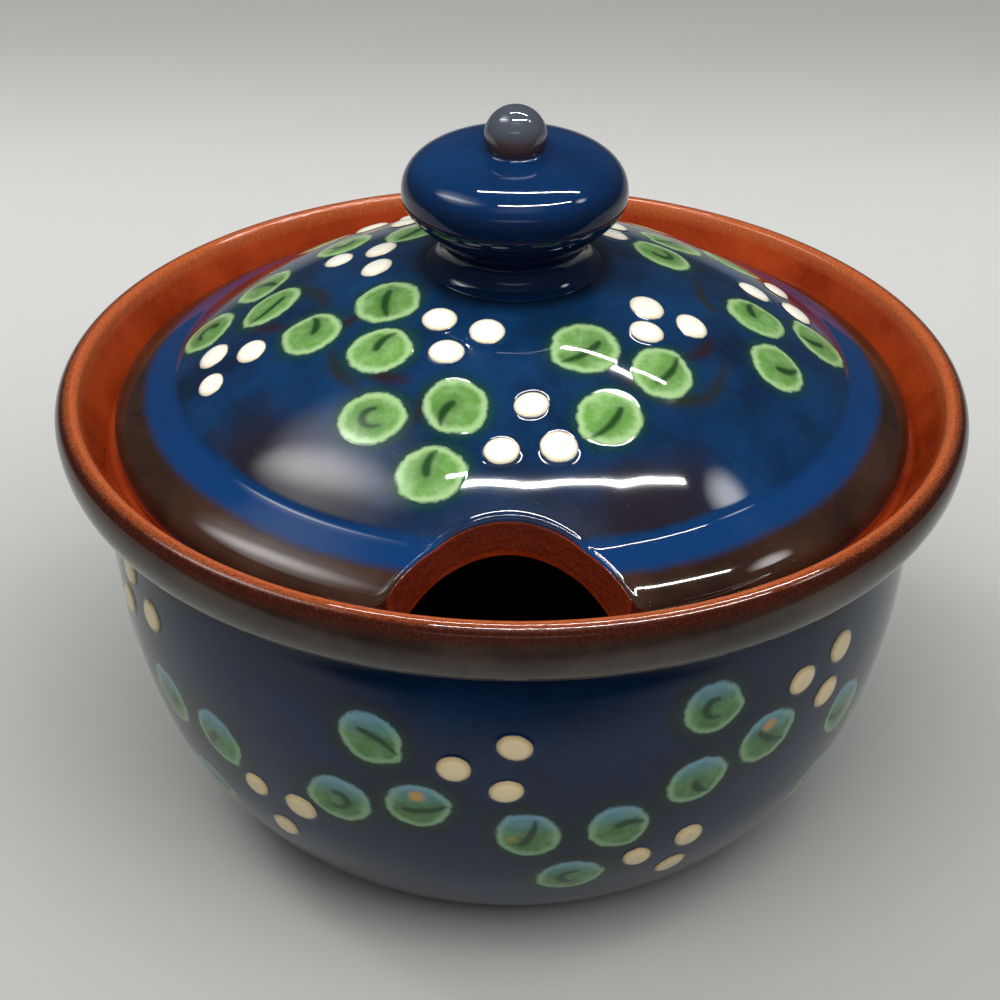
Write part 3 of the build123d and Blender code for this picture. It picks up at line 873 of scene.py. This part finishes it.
def makeLeaf(name, look):
    material, tree, shader, place = newMaterial(name, look)
    rim, tone, along, across = (add(tree, "ShaderNodeAttribute", attribute_name=mark).outputs["Fac"]
                                for mark in ("rim", "tone", "along", "across"))
    cloud = add(tree, "ShaderNodeTexNoise",
                {"Vector": place, "Scale": 1 / look["cloud"], "Detail": 5.0, "Roughness": 0.65})
    rim = add(tree, "ShaderNodeMath", {0: cloud, 1: look["rimWobble"], 2: rim}, operation="MULTIPLY_ADD")
    paleRim, edge = (add(tree, "ShaderNodeMapRange", {"Value": rim, "From Min": low, "From Max": high},
                         interpolation_type="SMOOTHSTEP") for low, high in (look["paleRim"], look["edge"]))
    low, high = look["patch"]
    patch = add(tree, "ShaderNodeMapRange", {"Value": cloud, "From Min": low, "From Max": high})

    # a wash that grows with the height over the leaf's middle
    here = add(tree, "ShaderNodeTexCoord").outputs["Object"]
    middle = add(tree, "ShaderNodeAttribute", attribute_name="middle").outputs["Vector"]
    over = add(tree, "ShaderNodeVectorMath", {0: here, 1: middle}, operation="SUBTRACT")
    over = add(tree, "ShaderNodeSeparateXYZ", {0: over}).outputs["Z"]
    over = add(tree, "ShaderNodeMapRange",
               {"Value": over, "From Max": look["washHeight"] * mm, "To Max": look["washAmount"]})

    # an ochre spot on the few leaves whose tone comes near it
    spot = add(tree, "ShaderNodeCombineXYZ", {"X": along, "Y": across, "Z": tone})
    spot = add(tree, "ShaderNodeVectorMath", {0: spot, 1: look["ochreAt"]}, operation="DISTANCE")
    far, near = look["ochreReach"]
    spot = add(tree, "ShaderNodeMapRange", {"Value": spot.outputs["Value"], "From Min": far, "From Max": near,
                                            "To Max": look["ochreAmount"]}, interpolation_type="SMOOTHSTEP")
    colour = layered(tree, look["mid"], [
        (patch, 0.45, look["pale"]), (tone, 0.25, look["dark"]), ("shade", 0.3, look["dark"]),
        (paleRim, 0.7, look["pale"]), (over, 1, look["wash"]), ("stroke", 0.92, look["dark"]),
        (spot, 1, look["ochre"]), (edge, 1, look["fringe"])])
    tree.links.new(colour, shader.inputs["Base Color"])
    return material


# White slip under clear glaze: cream, a little darker where it thins at the edge
berryLook = dict(glazeLook, cloud=1.2, rimWobble=0.1, thinRim=(0.75, 1.1), skirt=(1.03, 1.1))


def makeBerry(name, pale, edge, blues, look):
    material, tree, shader, place = newMaterial(name, look)
    cloud = add(tree, "ShaderNodeTexNoise", {"Vector": place, "Scale": 1 / look["cloud"], "Detail": 3.0})
    rim = add(tree, "ShaderNodeAttribute", attribute_name="rim").outputs["Fac"]
    rim = add(tree, "ShaderNodeMath", {0: cloud, 1: look["rimWobble"], 2: rim}, operation="MULTIPLY_ADD")
    thin, skirt = (add(tree, "ShaderNodeMapRange", {"Value": rim, "From Min": low, "From Max": high})
                   for low, high in (look["thinRim"], look["skirt"]))
    blue = cobalt(tree, place, blues, look)[0]
    colour = layered(tree, pale, [(thin, 1, edge), (skirt, 1, blue)])
    tree.links.new(colour, shader.inputs["Base Color"])
    return material


# Clear glaze over brown slip on the button: dark brown, blue at its foot, with a painted grey-blue sheen on
# its top
tipLook = {"roughness": glazeLook["roughness"], "ior": 1.75, "cloud": 3.0, "deep": "#2a1a12",
           "light": "#483122", "paintedTopSheen": "#4c5966", "foot": "#0b2a52"}


def makeTip(name, look):
    material, tree, shader, place = newMaterial(name, look)
    cloud = add(tree, "ShaderNodeTexNoise", {"Vector": place, "Scale": 1 / look["cloud"], "Detail": 4.0})
    colour = layered(tree, look["deep"], [
        (cloud, 1, look["light"]), ("paintedTopSheen", 0.7, look["paintedTopSheen"]), ("pooledGlazeAndShade", 1, look["foot"])])
    tree.links.new(colour, shader.inputs["Base Color"])
    return material


potBlues = ("#091931", "#0b2242")
lidBlues = ("#0c2039", "#0f3964")
knobBlues = ("#09284e", "#0c3462")
potGlaze = makeGlaze("cobaltGlazePot", potBlues, "#0f3a68", "#141d16", 0.7, "#1d352f",
                     dict(glazeLook, ior=1.38))
lidGlaze = makeGlaze("cobaltGlazeLid", lidBlues, "#0d3464", "#10301f", 0.5, "#1c4638",
                     dict(glazeLook, brownDeep="#24160f", brownLight="#3f2a20"))
knobGlaze = makeGlaze("cobaltGlazeKnob", knobBlues, "#0d3c70", "#10301f", 0.5, "#2f5e40",
                      dict(glazeLook, pooledGlazeAndShade="#061127"))
tipGlaze = makeTip("clearGlazeBrownSlip", tipLook)
lidLeafSlip = makeLeaf("greenSlipLid", dict(
    leafLook, mid="#6b9d4a", pale="#accd94", fringe="#13353c", dark="#143a17", wash="#9bc288",
    washAmount=0.0, ochreAmount=0.0))
# painted shade: the pot's green slip is a darker copy of the lid's, for the shade under the rim
potLeafSlip = makeLeaf("greenSlipPotShaded", dict(
    leafLook, mid="#467339", pale="#80a47e", fringe="#16262c", dark="#12311a", wash="#5a82a6",
    washAmount=0.75, ochreAmount=0.8))
lidBerrySlip = makeBerry("whiteSlipLid", "#faf6e8", "#e0d2ae", lidBlues, berryLook)
# painted shade: the pot's white slip is a darker copy of the lid's, for the shade under the rim
potBerrySlip = makeBerry("whiteSlipPotShaded", "#d2bf99", "#a08b60", potBlues, berryLook)
print("materials made")

for piece, material in [(pot, potGlaze), (lid, lidGlaze), (knob, knobGlaze), (tip, tipGlaze)]:
    piece.data.materials.append(material)

lidBerries, lidLeaves, potBerries, potLeaves = (slipPiece(*plan) for plan in [
    ("lidBerries", "lid_berries", lid, berryShapes, lidBerrySlip, berryForm, 3),
    ("lidLeaves", "lid_leaves", lid, leafShapes, lidLeafSlip, leafForm, 5),
    ("potBerries", "pot_berries", pot, berryShapes, potBerrySlip, berryForm, 7),
    ("potLeaves", "pot_leaves", pot, leafShapes, potLeafSlip, leafForm, 11),
])
pieces = [pot, lid, knob, tip, lidBerries, lidLeaves, potBerries, potLeaves]
triangles = {piece.name: sum(len(face.vertices) - 2 for face in piece.data.polygons) for piece in pieces}
print("triangles:", triangles)

for piece, body, node, slot in [
    (pot, "pot", "pot", "pot_glaze"), (lid, "lid", "lid", "lid_glaze"),
    (knob, "lid", "lid_knob", "knob_glaze"), (tip, "lid", "knob_tip", "tip_glaze"),
    (lidBerries, "lid", "lid_berries", "white_slip"), (lidLeaves, "lid", "lid_leaves", "green_slip"),
    (potBerries, "pot", "pot_berries", "white_slip"), (potLeaves, "pot", "pot_leaves", "green_slip"),
]:
    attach(piece, body)
    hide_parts(node)


# Floor, light and camera

# size in metres, the reaches in mm along Y
floorLook = {
    "size": 6.0, "roughness": 0.6, "ior": 1.5, "nearTone": "#b0b1ac", "farTone": "#ccccc8",
    "backTone": "#a4a4a0", "mirrorTone": "#1b1c1f", "farReach": (-20.0, 180.0), "backReach": (190.0, 330.0),
    "mirrorReach": (-88.0, -140.0),
}


def makeFloor(look):
    # matt pale table with painted light: lightest behind the pot, darker far back; beyond the picture's lower
    # edge it turns dark only for glossy rays, a painted reflection in the glaze
    half = look["size"] / 2
    corners = [(-half, -half, 0), (half, -half, 0), (half, half, 0), (-half, half, 0)]
    mesh = bpy.data.meshes.new("studioFloor")
    mesh.from_pydata(corners, [], [(0, 1, 2, 3)])
    floor = newPiece("studioFloor", mesh)
    material, tree, shader, place = newMaterial("paleTable", look)
    depth = add(tree, "ShaderNodeSeparateXYZ", {0: place}).outputs["Y"]
    far, back, front = (add(tree, "ShaderNodeMapRange", {"Value": depth, "From Min": start, "From Max": end},
                            interpolation_type="SMOOTHSTEP")
                        for start, end in (look["farReach"], look["backReach"], look["mirrorReach"]))
    # painted reflection: the table in front is dark only where the glaze reflects it
    glossy = add(tree, "ShaderNodeLightPath").outputs["Is Glossy Ray"]
    colour = layered(tree, look["nearTone"], [
        (far, 1, look["farTone"]), (back, 1, look["backTone"]), (front, glossy, look["mirrorTone"])])
    tree.links.new(colour, shader.inputs["Base Color"])
    shader.inputs["Specular IOR Level"].default_value = 0
    mesh.materials.append(material)


# place, what it looks at, size in x and y, radiance, what it lights, its turn, and for a lamp with
# a soft edge how much brighter its middle line is
lamps = {
    "tubeLeft": ((-0.065, -0.128, 1.10), (-0.065, -0.128, 0), (0.228, 0.016), 220, "gloss", -3.5, None),
    "tubeMiddle": ((0.2275, -0.096, 1.10), (0.2275, -0.096, 0), (0.364, 0.016), 220, "gloss", 11.4, None),
    "tubeRight": ((0.544, 0.008, 1.10), (0.544, 0.008, 0), (0.308, 0.016), 220, "gloss", 26.2, None),
    "tubeBack": ((0.18, 0.467, 1.10), (0.18, 0.467, 0), (0.9, 0.02), 200, "gloss", 0, None),
    "frontStrip": ((0.0, -1.3, 1.0), (0, 0, 0.07), (1.8, 0.3), 1.2, "both", 0, 0.0),
    "leftWindow": ((-0.78, 0.17, 1.10), (-0.78, 0.17, 0), (1.2, 0.8), 2.9, "both", -38, 2.5),
    "rightWindow": ((0.90, 0.13, 1.08), (0, 0, 0.08), (0.30, 0.26), 10, "both", 0, 0.0),
    "ceilingGlow": ((0.05, -0.45, 1.35), (0, -0.1, 0), (1.3, 0.7), 0.7, "gloss", 0, 0.0),
    "softKey": ((-0.1, 0.0, 1.6), (0, 0, 0.05), (1.6, 1.6), 1.4, "matt", 0, None),
    "softFill": ((0.12, -0.85, 1.35), (0, -0.1, 0), (1.6, 1.2), 4.1, "matt", 0, None),
}
lampGlow = {"edge": 0.5, "full": 0.08, "coreFull": 0.04, "coreSquash": (1, 3.2, 1)}  # shares of a soft lamp
airLook = {"around": "#4a4c50", "behind": "#d6d6d2"}  # what lights the room, and what the camera sees


def soften(tree, core, look):
    # a lamp that fades from its middle to its edge, with a slim core that adds to it
    spot = add(tree, "ShaderNodeNewGeometry").outputs["Parametric"]
    spot = add(tree, "ShaderNodeVectorMath", {0: spot, 1: (0.5, 0.5, 0)}, operation="SUBTRACT")
    slim = add(tree, "ShaderNodeVectorMath", {0: spot, 1: look["coreSquash"]}, operation="MULTIPLY")
    fades = []
    for shape, full, most in [(spot, look["full"], 1.0), (slim, look["coreFull"], core)]:
        away = add(tree, "ShaderNodeVectorMath", {0: shape}, operation="LENGTH").outputs["Value"]
        reach = {"Value": away, "From Min": look["edge"], "From Max": full, "To Max": most}
        fades.append(add(tree, "ShaderNodeMapRange", reach, interpolation_type="SMOOTHSTEP"))
    strength = add(tree, "ShaderNodeMath", {0: fades[0], 1: fades[1]}, operation="ADD")
    tree.links.new(strength.outputs[0], tree.nodes["Emission"].inputs["Strength"])


def makeLamps():
    for name, (place, target, size, radiance, lights, turn, core) in lamps.items():
        data = bpy.data.lights.new(name, "AREA")
        data.shape = "RECTANGLE"
        data.size, data.size_y = size
        data.energy = radiance * math.pi * size[0] * size[1]
        if core is not None:
            data.use_nodes = True
            soften(data.node_tree, core, lampGlow)
        lamp = bpy.data.objects.new(name, data)
        aimed = (Vector(target) - Vector(place)).to_track_quat("-Z", "Y").to_matrix().to_4x4()
        lamp.matrix_world = Matrix.Translation(place) @ Matrix.Rotation(math.radians(turn), 4, "Z") @ aimed
        lamp.visible_camera = False
        lamp.visible_glossy = lights != "matt"
        lamp.visible_diffuse = lights != "gloss"
        bpy.context.scene.collection.objects.link(lamp)


def makeAir(look):
    # a dim room all round, pale where the camera looks past the table
    world = bpy.data.worlds.new("studioAir")
    world.use_nodes = True
    tree = world.node_tree
    seen = add(tree, "ShaderNodeLightPath").outputs["Is Camera Ray"]
    tint = layered(tree, look["around"], [(seen, 1, look["behind"])])
    tree.links.new(tint, tree.nodes["Background"].inputs["Color"])
    bpy.context.scene.world = world


# place in metres, angles in degrees, fitted to the rim's outline
cameraFit = {"place": (0.0, -0.34909, 0.26329), "pitch": 31.6146, "yaw": -0.2543, "roll": 0.6604,
             "lens": 100.54}


def makeCamera(fit):
    pitch, yaw, roll = (math.radians(fit[key]) for key in ("pitch", "yaw", "roll"))
    forward = Vector((math.sin(yaw) * math.cos(pitch), math.cos(yaw) * math.cos(pitch), -math.sin(pitch)))
    level = forward.cross(Vector((0, 0, 1))).normalized()
    rise = level.cross(forward)
    right = level * math.cos(roll) + rise * math.sin(roll)
    up = rise * math.cos(roll) - level * math.sin(roll)
    data = bpy.data.cameras.new("photoCamera")
    data.lens = fit["lens"]
    camera = bpy.data.objects.new("photoCamera", data)
    facing = Matrix((right, up, -forward)).transposed().to_4x4()
    camera.matrix_world = Matrix.Translation(fit["place"]) @ facing
    bpy.context.scene.collection.objects.link(camera)
    bpy.context.scene.camera = camera


makeFloor(floorLook)
makeLamps()
makeAir(airLook)
makeCamera(cameraFit)
bpy.context.scene.view_settings.view_transform = "Standard"
print("stage set")
